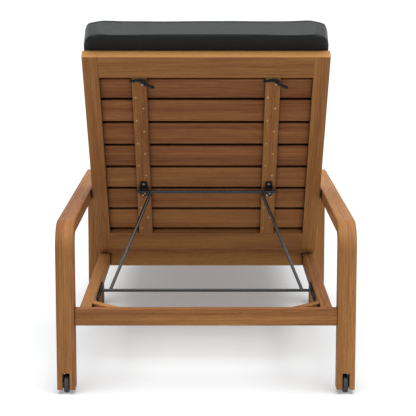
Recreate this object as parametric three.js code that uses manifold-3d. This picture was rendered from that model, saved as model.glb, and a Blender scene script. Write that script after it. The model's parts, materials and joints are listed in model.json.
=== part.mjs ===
// Reclining sun lounger in teak: a low bed frame with looped arms, a slatted seat, and a slatted
// back on butt hinges that is held up by a welded steel prop standing in two notched racks.
// Millimetres, +Z up, X across, Y along the length with the head end at -Y.
// Inside the frame group, Y runs forward from the rear faces of the rear legs.

import * as THREE from 'three';
import { mergeVertices } from 'three/addons/utils/BufferGeometryUtils.js';
import Module from 'manifold-3d';

const wasm = await Module();
wasm.setup();

// ---------------------------------------------------------------- driving dimensions

const overallWidth = 750;
const overallLength = 2000;
const fitGap = 0.3;               // air between a turned piece and its neighbour

const legWidth = 46;              // across
const legDepth = 50;              // along
const armHeight = 436;            // top of the arms
const armThickness = 34;
const armLoopLength = 1072;       // rear leg's back face to front arm leg's front face
const loopOuterRadius = 66;
const loopInnerRadius = 24;
const loopCornerReach = 94;       // how far a corner block runs from the loop's outer corner

const railTop = 220;
const railHeight = 43;
const railThickness = 29;
const railToLeg = 11;             // gap between a side rail and a leg
const crossbeamThickness = 25;
const crossbeamInset = 5;         // from the legs' outer faces
const hingeBeamStart = 766;
const middleBeamStart = 1370;
const braceThickness = 22;
const braceCornerGap = 42;        // corner to where the near face of a brace meets the rail

const wheelDiameter = 48;
const wheelWidth = 13.5;
const wheelHubWidth = 17.2;
const wheelHubDiameter = 22;
const wheelEdgeRadius = 3;
const wheelSlotWidth = 18;
const wheelTopClearance = 7;      // wheel to the top of its slot
const rearLegLift = 12;           // the wheels carry the rear legs clear of the ground
const axleDiameter = 8;
const axleEndInset = 1.5;

const panelThickness = 28;        // of the seat's frame and the back's frame
const panelClearance = 5.2;       // panel to the legs, on each side
const stileWidth = 41.6;
const panelRailWidth = 72;
const slatThickness = 12;
const battenCentre = 176.5;
const battenWidth = 39;
const backLength = 752;
const backSlatCount = 7;
const backSlatGap = 7;
const seatSlatCount = 13;
const seatSlatGap = 6;
const seatFrontInset = 4;

const reclineAngle = THREE.MathUtils.degToRad(52.3);
const hingeY = 733.5;
const hingeEndGap = 7.5;          // hinge line to the end of each panel
const leafThickness = 2;
const leafLength = 30;            // along the bed
const leafWidth = 60;
const leafCentre = 215;
const knuckleRadius = 4.2;
const hingePinRadius = 2;
const hingeKnuckles = 3;

const rodDiameter = 8;
const rodStandOff = 12.8;         // axis behind the back's rear face
const rodAlongBack = 268.9;       // hinge line to rod, measured along the back
const rodHalfLength = 199.5;
const propLength = 313.2;         // rod axis to foot bar axis
const propTopHalfWidth = 156;
const propFootHalfWidth = 261;
const footBarClearance = 4.1;     // foot bar's shoulder to a rack
const footPinDiameter = 4.6;
const footPinGap = 0.5;           // pin end to the rail
const rackSlotRise = 18;          // rail's lower edge to the foot bar in its racks
const rackAhead = 66;             // foot bar at rest to the front end of its racks
const rackBehind = 134;
const rackHeight = 19;
const rackThickness = 4.4;
const rackSlotHeight = 7.8;
const rackNotchPitch = 38;
const rackNotchesAhead = 1;
const rackNotchesBehind = 3;
const rackNotchRadius = 3.2;

const bracketWidth = 19;
const bracketLength = 58;
const bracketSheet = 3;
const bracketFootLength = 17;

const cushionInset = 2.8;         // from the panels' outer edges
const cushionThickness = 64;
const cushionOverhang = 56;       // past the top end of the back
const cushionHingeGap = 10;       // hinge line to each cushion, at the wood
const cushionMitreAngle = THREE.MathUtils.degToRad(60);
const cushionCorner = 34;
const cushionEdge = 8;

const tieWidth = 11;
const tieThickness = 2.2;
const tieTail = 20;               // past the batten, towards +X on both sides
const tieWrap = 4;                // past the batten on the other side
const tieDrop = 10;               // below the top rail's lower edge

// ---------------------------------------------------------------- derived places

const halfWidth = overallWidth / 2;
const legInner = halfWidth - legWidth;
const legCentre = halfWidth - legWidth / 2;
const railBottom = railTop - railHeight;
const railOuter = legInner - railToLeg;
const railInner = railOuter - railThickness;
const rackSlotZ = railBottom + rackSlotRise;
const panelHalfWidth = legInner - panelClearance;
const cushionHalfWidth = panelHalfWidth - cushionInset;
const panelTop = railTop + panelThickness;
const hingeZ = panelTop;
const stileInner = panelHalfWidth - stileWidth;
const battenThickness = panelThickness - slatThickness;
const seatStart = hingeY + hingeEndGap;
const seatEnd = overallLength - seatFrontInset;
const footLegStart = overallLength - legDepth;
const rearBeamFront = crossbeamInset + crossbeamThickness;
const footBeamStart = overallLength - crossbeamInset - crossbeamThickness;
const frontArmLegStart = armLoopLength - legDepth;
const wheelRadius = wheelDiameter / 2;
const axleRadius = axleDiameter / 2;
const backFaceN = fitGap - panelThickness;          // back panel's rear face, from the hinge line
const rodRadius = rodDiameter / 2;
const rodN = backFaceN - rodStandOff;
const xAxis = new THREE.Vector3(1, 0, 0);
const rodPlace = new THREE.Vector3(0, -rodAlongBack, rodN)
  .applyAxisAngle(xAxis, -reclineAngle)
  .add(new THREE.Vector3(0, hingeY, hingeZ));
const propAngle = Math.asin((rodPlace.z - rackSlotZ) / propLength);
const footBarY = rodPlace.y - propLength * Math.cos(propAngle);

// ---------------------------------------------------------------- materials

const finish = (color, roughness, metalness) => new THREE.MeshStandardMaterial({ color, roughness, metalness });
const teak = finish('#9a6a3f', 0.6, 0);
const teakDark = finish('#7d5433', 0.65, 0);
const blackSteel = finish('#1b1c1e', 0.45, 0.6);
const propSteel = finish('#585c60', 0.4, 0.7);
const brightSteel = finish('#a9abad', 0.35, 1);
const rubber = finish('#3b3d40', 0.8, 0);
const canvas = finish('#3a3d3f', 0.95, 0);

// ---------------------------------------------------------------- shapes

// A box between two corners.
function block(x0, x1, y0, y1, z0, z1) {
  const geometry = new THREE.BoxGeometry(x1 - x0, y1 - y0, z1 - z0);
  return geometry.translate((x0 + x1) / 2, (y0 + y1) / 2, (z0 + z1) / 2);
}

// An outline drawn in Y and Z, given thickness from x0 to x1.
function sideExtrusion(shape, x0, x1) {
  const geometry = new THREE.ExtrudeGeometry(shape, { depth: x1 - x0, bevelEnabled: false, curveSegments: 12 });
  const toSide = new THREE.Matrix4().makeBasis(
    new THREE.Vector3(0, 1, 0), new THREE.Vector3(0, 0, 1), new THREE.Vector3(1, 0, 0));
  return geometry.applyMatrix4(toSide).translate(x0, 0, 0);
}

// A round bar between two points.
function bar(from, to, radius, sides = 20) {
  const length = from.distanceTo(to);
  const geometry = new THREE.CylinderGeometry(radius, radius, length, sides);
  const along = to.clone().sub(from).normalize();
  const turn = new THREE.Quaternion().setFromUnitVectors(new THREE.Vector3(0, 1, 0), along);
  const middle = from.clone().add(to).multiplyScalar(0.5);
  return geometry.applyQuaternion(turn).translate(middle.x, middle.y, middle.z);
}

// A round bar across the lounger.
function crossBar(x0, x1, y, z, radius, sides = 20) {
  return bar(new THREE.Vector3(x0, y, z), new THREE.Vector3(x1, y, z), radius, sides);
}

function toSolid(geometry) {
  const bare = geometry.clone();
  bare.deleteAttribute('normal');
  bare.deleteAttribute('uv');
  const welded = mergeVertices(bare, 1e-4);
  return new wasm.Manifold(new wasm.Mesh({
    numProp: 3,
    vertProperties: new Float32Array(welded.attributes.position.array),
    triVerts: new Uint32Array(welded.index.array),
  }));
}

function toGeometry(solid) {
  const mesh = solid.getMesh();
  const geometry = new THREE.BufferGeometry();
  geometry.setAttribute('position', new THREE.BufferAttribute(new Float32Array(mesh.vertProperties), 3));
  geometry.setIndex(new THREE.BufferAttribute(new Uint32Array(mesh.triVerts), 1));
  geometry.computeVertexNormals();
  return geometry;
}

function cut(geometry, ...tools) {
  return toGeometry(tools.reduce((solid, tool) => solid.subtract(toSolid(tool)), toSolid(geometry)));
}

function join(...geometries) {
  return toGeometry(geometries.map(toSolid).reduce((all, next) => all.add(next)));
}

// Two boxes, or one box and its mirror image, on the left (-X) and on the right (+X).
const sides = [{ side: 'left', sign: -1 }, { side: 'right', sign: 1 }];
const across = (sign, near, far) => [Math.min(sign * near, sign * far), Math.max(sign * near, sign * far)];

// ---------------------------------------------------------------- groups

const lounger = new THREE.Group();
lounger.position.set(0, -overallLength / 2, 0);

const back = new THREE.Group();
back.position.set(0, hingeY, hingeZ);
back.rotation.x = -reclineAngle;
lounger.add(back);

// The prop is drawn level, from the rod towards -Y, and turned until its foot bar is in the racks.
const prop = new THREE.Group();
prop.position.copy(rodPlace);
prop.rotation.x = propAngle;
lounger.add(prop);

function add(group, name, geometry, material) {
  const mesh = new THREE.Mesh(geometry, material);
  mesh.name = name;
  group.add(mesh);
}

// ---------------------------------------------------------------- arm loops and rear wheels

// The corner block of an arm loop: a quarter bend with a short straight at each end, drawn for the
// rear corner. alongStep is 1 at the rear corner and -1 at the front one, which is its mirror image.
function loopCorner(cornerY, alongStep) {
  const y = (run) => cornerY + alongStep * run;
  const low = armHeight - loopCornerReach;
  const under = armHeight - armThickness;
  const outerCentre = armHeight - loopOuterRadius;
  const innerCentre = under - loopInnerRadius;
  const atRear = alongStep > 0;
  const legSide = atRear ? Math.PI : 0;
  const shape = new THREE.Shape();
  shape.moveTo(y(0), low);
  shape.lineTo(y(0), outerCentre);
  shape.absarc(y(loopOuterRadius), outerCentre, loopOuterRadius, legSide, Math.PI / 2, atRear);
  shape.lineTo(y(loopCornerReach), armHeight);
  shape.lineTo(y(loopCornerReach), under);
  shape.lineTo(y(legDepth + loopInnerRadius), under);
  shape.absarc(y(legDepth + loopInnerRadius), innerCentre, loopInnerRadius, Math.PI / 2, legSide, !atRear);
  shape.lineTo(y(legDepth), low);
  shape.closePath();
  return shape;
}

for (const { side, sign } of sides) {
  const [x0, x1] = across(sign, legInner, halfWidth);
  const cornerLow = armHeight - loopCornerReach;

  const axleBore = crossBar(x0 - 1, x1 + 1, legDepth / 2, wheelRadius, axleRadius + fitGap);
  const wheelSlot = block(sign * legCentre - wheelSlotWidth / 2, sign * legCentre + wheelSlotWidth / 2,
    -1, legDepth + 1, rearLegLift - 1, wheelDiameter + wheelTopClearance);
  const rearLeg = block(x0, x1, 0, legDepth, rearLegLift, cornerLow);
  add(lounger, `rear_leg_${side}`, cut(rearLeg, wheelSlot, axleBore), teak);
  add(lounger, `rear_corner_${side}`, sideExtrusion(loopCorner(0, 1), x0, x1), teak);
  add(lounger, `armrest_${side}`,
    block(x0, x1, loopCornerReach, armLoopLength - loopCornerReach, armHeight - armThickness, armHeight), teak);
  add(lounger, `front_corner_${side}`, sideExtrusion(loopCorner(armLoopLength, -1), x0, x1), teak);
  add(lounger, `front_arm_leg_${side}`, block(x0, x1, frontArmLegStart, armLoopLength, 0, cornerLow), teak);

  add(lounger, `wheel_axle_${side}`,
    crossBar(x0 + axleEndInset, x1 - axleEndInset, legDepth / 2, wheelRadius, axleRadius), brightSteel);
  add(lounger, `wheel_${side}`, wheel().translate(sign * legCentre, legDepth / 2, wheelRadius), rubber);
}

// A solid wheel with a hub that stands out on both sides and keeps it in the middle of its slot.
function wheel() {
  const bore = axleRadius + fitGap;
  const rim = wheelWidth / 2;
  const hub = wheelHubWidth / 2;
  const hubRadius = wheelHubDiameter / 2;
  const edge = new THREE.Path();
  edge.moveTo(bore, -hub);
  edge.lineTo(hubRadius, -hub);
  edge.lineTo(hubRadius, -rim);
  edge.lineTo(wheelRadius - wheelEdgeRadius, -rim);
  edge.absarc(wheelRadius - wheelEdgeRadius, -rim + wheelEdgeRadius, wheelEdgeRadius, -Math.PI / 2, 0, false);
  edge.absarc(wheelRadius - wheelEdgeRadius, rim - wheelEdgeRadius, wheelEdgeRadius, 0, Math.PI / 2, false);
  edge.lineTo(hubRadius, rim);
  edge.lineTo(hubRadius, hub);
  edge.lineTo(bore, hub);
  edge.closePath();
  return new THREE.LatheGeometry(edge.getPoints(4), 40).rotateZ(-Math.PI / 2);
}

// ---------------------------------------------------------------- bed frame

// The end of the prop stands in a plate on the rail, with a slot that is open at the head end
// and a row of notches along its lower edge.
function rackOutline() {
  const low = rackSlotZ - rackHeight / 2;
  const high = rackSlotZ + rackHeight / 2;
  const slotLow = rackSlotZ - rackSlotHeight / 2;
  const slotHigh = rackSlotZ + rackSlotHeight / 2;
  const rackStart = footBarY - rackBehind;
  const rackEnd = footBarY + rackAhead;
  const slotEnd = rackEnd - rackHeight / 2;
  const shape = new THREE.Shape();
  shape.moveTo(rackStart, low);
  shape.lineTo(rackEnd, low);
  shape.lineTo(rackEnd, high);
  shape.lineTo(rackStart, high);
  shape.lineTo(rackStart, slotHigh);
  shape.lineTo(slotEnd - rackSlotHeight / 2, slotHigh);
  shape.absarc(slotEnd - rackSlotHeight / 2, rackSlotZ, rackSlotHeight / 2, Math.PI / 2, -Math.PI / 2, true);
  for (let notch = rackNotchesAhead; notch >= -rackNotchesBehind; notch -= 1) {
    const centre = footBarY + notch * rackNotchPitch;
    shape.lineTo(centre + rackNotchRadius, slotLow);
    shape.absarc(centre, slotLow, rackNotchRadius, 0, -Math.PI, true);
  }
  shape.lineTo(rackStart, slotLow);
  shape.closePath();
  return shape;
}

// A block set across a corner between a rail and a crossbeam, its ends cut to lie along both.
function cornerBrace(sign, cornerY, alongStep) {
  const near = braceCornerGap;
  const far = near + braceThickness * Math.SQRT2;
  const x = (run) => sign * (railInner - run);
  const y = (run) => cornerY + alongStep * run;
  const shape = new THREE.Shape();
  shape.moveTo(x(0), y(near));
  shape.lineTo(x(0), y(far));
  shape.lineTo(x(far), y(0));
  shape.lineTo(x(near), y(0));
  shape.closePath();
  const geometry = new THREE.ExtrudeGeometry(shape, { depth: railHeight, bevelEnabled: false });
  return geometry.translate(0, 0, railBottom);
}

for (const { side, sign } of sides) {
  const [rail0, rail1] = across(sign, railInner, railOuter);
  add(lounger, `side_rail_${side}`,
    block(rail0, rail1, rearBeamFront, footBeamStart, railBottom, railTop), teak);
  add(lounger, `rail_spacer_${side}`,
    block(...across(sign, railOuter, legInner), frontArmLegStart, armLoopLength, railBottom, railTop), teakDark);
  add(lounger, `rack_${side}`,
    sideExtrusion(rackOutline(), ...across(sign, railInner - rackThickness, railInner)), blackSteel);
  add(lounger, `foot_leg_${side}`,
    block(...across(sign, legInner, halfWidth), footLegStart, overallLength, 0, railTop), teak);
  add(lounger, `rear_brace_${side}`, cornerBrace(sign, rearBeamFront, 1), teak);
  add(lounger, `foot_brace_${side}`, cornerBrace(sign, footBeamStart, -1), teak);
}

function crossbeam(name, halfLength, start) {
  add(lounger, name,
    block(-halfLength, halfLength, start, start + crossbeamThickness, railBottom, railTop), teak);
}
crossbeam('rear_crossbeam', legInner, crossbeamInset);
crossbeam('hinge_crossbeam', railInner, hingeBeamStart);
crossbeam('middle_crossbeam', railInner, middleBeamStart);
crossbeam('foot_crossbeam', legInner, footBeamStart);

// ---------------------------------------------------------------- butt hinges

// Each leaf lies flush in a panel's end rail. away is +1 for the seat's leaf and -1 for the back's.
// Places are from the hinge line. The seat's leaf keeps the outer knuckles and the pin.
function hingeLeaf(centreX, away) {
  const segment = leafWidth / hingeKnuckles;
  const plateReach = [away * hingePinRadius * 1.5, away * leafLength].sort((a, b) => a - b);
  const plate = block(centreX - leafWidth / 2, centreX + leafWidth / 2, ...plateReach, -leafThickness, 0);
  const own = [];
  const others = [];
  for (let knuckle = 0; knuckle < hingeKnuckles; knuckle += 1) {
    const start = centreX - leafWidth / 2 + knuckle * segment;
    const isSeatKnuckle = knuckle % 2 === 0;
    if (isSeatKnuckle === away > 0) own.push([start, start + segment]);
    else others.push([start, start + segment]);
  }
  const barrels = own.map(([x0, x1]) => crossBar(x0 + fitGap, x1 - fitGap, 0, 0, knuckleRadius));
  const room = knuckleRadius + 2 * fitGap;
  const clearances = others.map(([x0, x1]) => block(x0 - fitGap, x1 + fitGap, -room, room, -room, room));
  const cleared = cut(join(plate, ...barrels), ...clearances);
  const pinLength = leafWidth / 2 - 2 * fitGap;
  if (away > 0) return join(cleared, crossBar(centreX - pinLength, centreX + pinLength, 0, 0, hingePinRadius));
  return cut(cleared, crossBar(centreX - leafWidth, centreX + leafWidth, 0, 0, hingePinRadius + fitGap));
}

// The shallow recess that a leaf lies in.
function leafRecess(centreX, away) {
  const half = leafWidth / 2 + fitGap;
  const reach = leafLength + fitGap;
  return block(centreX - half, centreX + half, Math.min(0, away * reach), Math.max(0, away * reach),
    -leafThickness - fitGap, leafThickness);
}

const leafCentres = sides.map(({ sign }) => sign * leafCentre);

// ---------------------------------------------------------------- slatted panels

// Slat places along a panel: count slats between two rails, with equal gaps.
function slatRuns(from, to, count, gap) {
  const width = (to - from - (count + 1) * gap) / count;
  return Array.from({ length: count }, (_, k) => {
    const start = from + gap + k * (width + gap);
    return [start, start + width];
  });
}

// Seat, level on the side rails.
for (const { side, sign } of sides) {
  add(lounger, `seat_stile_${side}`,
    block(...across(sign, stileInner, panelHalfWidth), seatStart, seatEnd, railTop, panelTop), teak);
}
const seatHeadRail = block(-stileInner, stileInner, seatStart, seatStart + panelRailWidth, railTop, panelTop);
const seatRecesses = leafCentres.map((x) => leafRecess(x, 1).translate(0, hingeY, hingeZ));
add(lounger, 'seat_head_rail', cut(seatHeadRail, ...seatRecesses), teak);
add(lounger, 'seat_foot_rail',
  block(-stileInner, stileInner, seatEnd - panelRailWidth, seatEnd, railTop, panelTop), teak);

const seatInner0 = seatStart + panelRailWidth;
const seatInner1 = seatEnd - panelRailWidth;
const slatBottom = panelTop - slatThickness;
const seatSlats = slatRuns(seatInner0, seatInner1, seatSlatCount, seatSlatGap)
  .map(([y0, y1]) => block(-stileInner, stileInner, y0, y1, slatBottom, panelTop));
const seatBattens = sides.map(({ sign }) => block(
  ...across(sign, battenCentre - battenWidth / 2, battenCentre + battenWidth / 2),
  seatInner0, seatInner1, railTop, slatBottom + 1));
add(lounger, 'seat_slats', join(...seatSlats, ...seatBattens), teak);

leafCentres.forEach((x, k) => {
  add(lounger, `seat_hinge_leaf_${sides[k].side}`, hingeLeaf(x, 1).translate(0, hingeY, hingeZ), brightSteel);
});

// Back, drawn lying flat: -Y runs from the hinge line to the head end, Z from the hinge line.
const backFront = fitGap;
const backRear = backFaceN;
const backEnd = hingeEndGap + backLength;
const along = (near, far) => [-far, -near];

for (const { side, sign } of sides) {
  add(back, `back_stile_${side}`,
    block(...across(sign, stileInner, panelHalfWidth), ...along(hingeEndGap, backEnd), backRear, backFront), teak);
}
const innerHalf = stileInner - fitGap;
const backRecesses = leafCentres.map((x) => leafRecess(x, -1));
const bottomRail = block(-innerHalf, innerHalf, ...along(hingeEndGap, hingeEndGap + panelRailWidth),
  backRear, backFront);
add(back, 'back_bottom_rail', cut(bottomRail, ...backRecesses), teak);
add(back, 'back_top_rail',
  block(-innerHalf, innerHalf, ...along(backEnd - panelRailWidth, backEnd), backRear, backFront), teak);

const backInner0 = hingeEndGap + panelRailWidth;
const backInner1 = backEnd - panelRailWidth;
slatRuns(backInner0, backInner1, backSlatCount, backSlatGap).forEach(([near, far], k) => {
  add(back, `back_slat_${k + 1}`,
    block(-innerHalf, innerHalf, ...along(near, far), backFront - slatThickness, backFront), teakDark);
});
for (const { side, sign } of sides) {
  const edges = across(sign, battenCentre - battenWidth / 2, battenCentre + battenWidth / 2);
  add(back, `back_batten_${side}`,
    block(...edges, ...along(backInner0 + fitGap, backInner1 - fitGap),
      backRear, backRear + battenThickness - fitGap), teak);
}
leafCentres.forEach((x, k) => {
  add(back, `back_hinge_leaf_${sides[k].side}`, hingeLeaf(x, -1), brightSteel);
});

// ---------------------------------------------------------------- rod brackets and prop

// A bracket bent from strip: two feet on the batten and an arch over the rod.
function bracketOutline() {
  const boreRadius = rodRadius + fitGap;
  const outer = boreRadius + bracketSheet;
  const face = backRear - fitGap;
  const foot = face - bracketSheet;
  const centre = -rodAlongBack;
  const shape = new THREE.Shape();
  shape.moveTo(centre - bracketLength / 2, face);
  shape.lineTo(centre - bracketLength / 2, foot);
  shape.lineTo(centre - bracketLength / 2 + bracketFootLength, foot);
  shape.lineTo(centre - outer, rodN);
  shape.absarc(centre, rodN, outer, Math.PI, 2 * Math.PI, false);
  shape.lineTo(centre + bracketLength / 2 - bracketFootLength, foot);
  shape.lineTo(centre + bracketLength / 2, foot);
  shape.lineTo(centre + bracketLength / 2, face);
  shape.closePath();
  return shape;
}
for (const { side, sign } of sides) {
  const [x0, x1] = across(sign, battenCentre - bracketWidth / 2, battenCentre + bracketWidth / 2);
  const boreFill = crossBar(x0 - 1, x1 + 1, -rodAlongBack, rodN, rodRadius + fitGap);
  add(back, `rod_bracket_${side}`, cut(sideExtrusion(bracketOutline(), x0, x1), boreFill), blackSteel);
}

const footPinEnd = railInner - footPinGap;
const footBarHalfLength = railInner - rackThickness - footBarClearance;
const propBars = [
  crossBar(-rodHalfLength, rodHalfLength, 0, 0, rodRadius),
  crossBar(-footBarHalfLength, footBarHalfLength, -propLength, 0, rodRadius),
  crossBar(-footPinEnd, footPinEnd, -propLength, 0, footPinDiameter / 2),
  ...sides.map(({ sign }) => bar(
    new THREE.Vector3(sign * propTopHalfWidth, 0, 0),
    new THREE.Vector3(sign * propFootHalfWidth, -propLength, 0), rodRadius)),
];
add(prop, 'prop_frame', join(...propBars), propSteel);

// ---------------------------------------------------------------- cushions and ties

// A cushion's side outline, with the end at the hinge cut back to the mitre that lets the back fold
// up. end is the far end's distance from the hinge line. step is 1 for the seat and -1 for the back.
function cushionOutline(end, step, low) {
  const high = low + cushionThickness;
  const mitre = cushionThickness / Math.tan(cushionMitreAngle);
  const near = step * cushionHingeGap;
  const far = step * end;
  const shape = new THREE.Shape();
  shape.moveTo(near, low);
  shape.lineTo(far - step * cushionEdge, low);
  shape.quadraticCurveTo(far, low, far, low + cushionEdge);
  shape.lineTo(far, high - cushionEdge);
  shape.quadraticCurveTo(far, high, far - step * cushionEdge, high);
  shape.lineTo(near + step * mitre, high);
  shape.closePath();
  return shape;
}

// The outline is as wide as the cushion, less the two far corners, which are rounded in plan.
function cushion(end, step, low) {
  const slab = sideExtrusion(cushionOutline(end, step, low), -cushionHalfWidth, cushionHalfWidth);
  const plan = new THREE.Shape();
  const far = step * end;
  const turn = step > 0;
  plan.moveTo(-cushionHalfWidth, 0);
  plan.lineTo(-cushionHalfWidth, far - step * cushionCorner);
  plan.absarc(-cushionHalfWidth + cushionCorner, far - step * cushionCorner, cushionCorner,
    Math.PI, step * Math.PI / 2, turn);
  plan.lineTo(cushionHalfWidth - cushionCorner, far);
  plan.absarc(cushionHalfWidth - cushionCorner, far - step * cushionCorner, cushionCorner,
    step * Math.PI / 2, 0, turn);
  plan.lineTo(cushionHalfWidth, 0);
  plan.closePath();
  const footprint = new THREE.ExtrudeGeometry(plan, { depth: 2 * cushionThickness, bevelEnabled: false })
    .translate(0, 0, low - cushionThickness / 2);
  return toGeometry(toSolid(slab).intersect(toSolid(footprint)));
}

add(lounger, 'seat_cushion',
  cushion(seatEnd - hingeY, 1, 2 * fitGap).translate(0, hingeY, hingeZ), canvas);
add(back, 'back_cushion', cushion(backEnd + cushionOverhang, -1, backFront + 2 * fitGap), canvas);

// Each tie is knotted round its batten just below the top rail, and its tail lies to one side.
for (const { side, sign } of sides) {
  const start = backInner1 - tieDrop;
  const face = backRear - fitGap;
  const centre = sign * battenCentre;
  add(back, `cushion_tie_${side}`, block(
    centre - battenWidth / 2 - tieWrap, centre + battenWidth / 2 + tieTail,
    ...along(start - tieWidth, start), face - tieThickness, face), canvas);
}

export default lounger;
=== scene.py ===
"""Looks for the teak sun lounger: oiled teak boards, charcoal canvas pads, black steel fittings.

Everything is in metres in the frame's own axes: X across, Y from the wheels to the foot end, Z up.
"""

import json
import math
import random

import bmesh
import bpy
import numpy as np
from mathutils import Matrix, Vector
from mathutils.bvhtree import BVHTree


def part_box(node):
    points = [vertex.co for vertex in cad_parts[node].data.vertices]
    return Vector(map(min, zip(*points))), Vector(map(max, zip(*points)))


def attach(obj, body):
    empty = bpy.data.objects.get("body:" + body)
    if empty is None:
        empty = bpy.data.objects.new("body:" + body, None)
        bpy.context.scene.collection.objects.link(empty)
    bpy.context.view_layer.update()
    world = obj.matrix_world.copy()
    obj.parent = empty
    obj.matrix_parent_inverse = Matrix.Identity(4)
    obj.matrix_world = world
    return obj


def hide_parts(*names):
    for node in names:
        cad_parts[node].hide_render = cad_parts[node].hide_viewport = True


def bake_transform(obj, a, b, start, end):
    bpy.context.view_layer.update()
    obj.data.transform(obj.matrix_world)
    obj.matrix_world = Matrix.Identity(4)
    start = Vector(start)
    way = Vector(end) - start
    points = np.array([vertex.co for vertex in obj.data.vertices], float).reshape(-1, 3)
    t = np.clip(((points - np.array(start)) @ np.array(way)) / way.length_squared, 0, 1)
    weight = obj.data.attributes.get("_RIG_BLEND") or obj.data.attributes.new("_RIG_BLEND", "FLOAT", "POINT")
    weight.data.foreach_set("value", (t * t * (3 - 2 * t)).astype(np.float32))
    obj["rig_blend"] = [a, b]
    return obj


MM = 0.001
SIDES = (("left", -1), ("right", 1))

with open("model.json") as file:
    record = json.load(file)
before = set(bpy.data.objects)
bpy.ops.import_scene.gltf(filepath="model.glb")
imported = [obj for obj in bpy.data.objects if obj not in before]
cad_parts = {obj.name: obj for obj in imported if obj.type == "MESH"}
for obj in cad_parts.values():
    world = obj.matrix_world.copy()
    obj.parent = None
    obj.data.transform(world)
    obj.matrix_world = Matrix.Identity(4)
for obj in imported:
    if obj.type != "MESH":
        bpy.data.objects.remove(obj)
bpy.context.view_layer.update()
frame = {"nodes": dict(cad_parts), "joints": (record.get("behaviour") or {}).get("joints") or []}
joints = {j["name"]: j for j in frame["joints"]}
scene = bpy.context.scene

# ---------------------------------------------------------------- sizes, in millimetres

# The arm loops.
LOOP_ENDS = (-1000, 72)             # outer faces of the rear and the front leg
LOOP_TOP = 436
LOOP_RADIUS = 66                    # outer corners
LOOP_JOINT_Z = 342                  # where a corner block sits on its leg
LOOP_JOINT_Y = (-906, -22)          # where the armrest meets its two corner blocks
LOOP_CENTRE = (352, 20)             # middle of the wood: from the lounger's middle, and from the outer face
LOOP_GRAIN_RADIUS = 48              # where the grain's length round a corner is measured
SOLE_TOP = 14                       # edges lower than this are the sole's
WHEEL_SLOT_TOP = 60
WHEEL_SLOT = (342.5, 361.5)         # from the lounger's middle, with half a millimetre to spare

# The boards.
BOARD_EASE = 2.2                    # how far a sander rounds their edges
ARM_EASE = 4.5
BRACE_EASE = 1.5
SEAT_SLAT_EASE = 1.8
BACK_SLAT_EASE = 1.0
PANEL_TOP = 248
PANEL_JOINT = (281, 283)            # where a panel's rails meet its stiles, from the lounger's middle
SLAT_THICKNESS = 12
BATTEN_CENTRE = 176.5
BATTEN_WIDTH = 39
SEAT_SLATS = 13
SEAT_SLAT_GAP = 6

# The back, measured from its hinge line: along its slope, and out of its front.
RECLINE = math.radians(52.3)        # its slope at rest
BACK_TOP = 759.5
BACK_REAR = -27.7
BACK_BATTEN = (82, 685)             # just inside the battens' ends
BACK_SLATS = 7
BACK_SLAT_START = 86.5
BACK_SLAT_WIDTH = 78.857
BACK_SLAT_PITCH = 85.857
SLAT_TRIM = 1.2                     # planed off each long edge of a slat
TOP_SLAT_TRIM = 12                  # and off the upper edge of the last, under the top rail
ROD_ALONG = 268.9                   # the prop's rod
ROD_STAND_OFF = -40.5
PIN_START = 281                     # where the foot bar ends and its pins begin, from the lounger's middle
TIE_ALONG = 677                     # middle of a tie's knot

# The fittings.
SCREW_FROM_EDGE = 16.5              # a slat's screws, from its edges
SCREW_ACROSS = (-11.5, 8)           # and from the batten's middle
SCREW_RADIUS = {"batten": 2.7, "bracket": 3.0, "rack": 1.9, "seat_batten": 3.4}
RACK_SCREW_ENDS = (12, 8)           # from the rack's rear and front ends
RACK_SCREW_EDGE = 2.8
BRACKET_WIDTH, BRACKET_LENGTH, BRACKET_SHEET = 19, 58, 3
BRACKET_FACE = BACK_REAR - 0.3      # a hair off the batten
BRACKET_SCREWS = ((0, 20.5), (4, -17.5), (-4, -24))     # one above the rod and two below
BRACKET_CLEAR = BRACKET_LENGTH / 2 + 2                  # a slat's screw nearer to the rod is left out
EAR_SHEET, EAR_TIP, EAR_ROOT, EAR_BORE = 2.6, 7.3, 11, 4.75     # the last three from the rod's middle
PLATE_REACH = BRACKET_FACE - 0.3 - ROD_STAND_OFF        # from the rod's middle into the plate
PLUG_RADIUS = 6
BOLTS = ((-982.5, 188), (-982.5, 209), (40, 198.5), (54, 198.5), (982.5, 188), (982.5, 209))   # Y and Z

# Half of a wheel's section, as (radius, half-thickness) from the hub to the tread, and one of its ribs.
WHEEL = ((0, 6.8), (4.4, 6.8), (5.0, 8.3), (9.6, 8.3), (10.9, 7.4), (11.2, 4.6), (17.6, 4.6), (18.2, 6.4),
         (20.8, 6.75), (22.4, 6.2), (23.6, 4.9), (24.0, 3.2), (24.0, 0.7), (23.5, 0.0))
WHEEL_RIB = ((10.6, -0.9, -5.9), (18.3, 0.9, 5.9))
WHEEL_RIBS = 6

# The pads, each measured from the hinge line and from the boards that it lies on.
PAD_THICKNESS = 67
PAD_HALF_WIDTH = {"pad_back": 331, "pad_seat": 324}     # as cut: the stuffing draws the sides in
PAD_END = {"pad_back": 819, "pad_seat": 1262.5}
PAD_LIFT = {"pad_back": 0.9, "pad_seat": 0.6}           # underside above the boards
PAD_INSET = 3                       # cut this much smaller all round, for the stuffing to fill
PAD_CORNER = 40
PAD_BOW = 3.5                       # how far a pad's far end is cut out beyond its corners
PAD_HINGE_GAP = 10
PAD_MITRE = math.radians(60)
CORNER_STEPS, BOW_STEPS = 8, 12
PIPING_RADIUS = 1.9
PIPING_IN = 4.5                     # from the pad's upper and lower face
PIPING_STEP = 9
PUCKER_HEIGHT, PUCKER_FADE, PUCKER_BAND = 1.1, 26, 90   # the band is how far from a seam they may run
SWELL_HEIGHT = 1.6                  # slow unevenness of the filling
STRIP_HALF_WIDTH = 305              # the fold strip, as far as the pads' edge seams
STRIP_REACH = 24                    # each way from the hinge line
STRIP_THICKNESS = 0.8
STRIP_LIFT = 1.1                    # above the boards
STRIP_BEND = 9.0                    # radius of its fold
STRIP_ROWS, STRIP_COLUMNS = 16, 30

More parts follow.
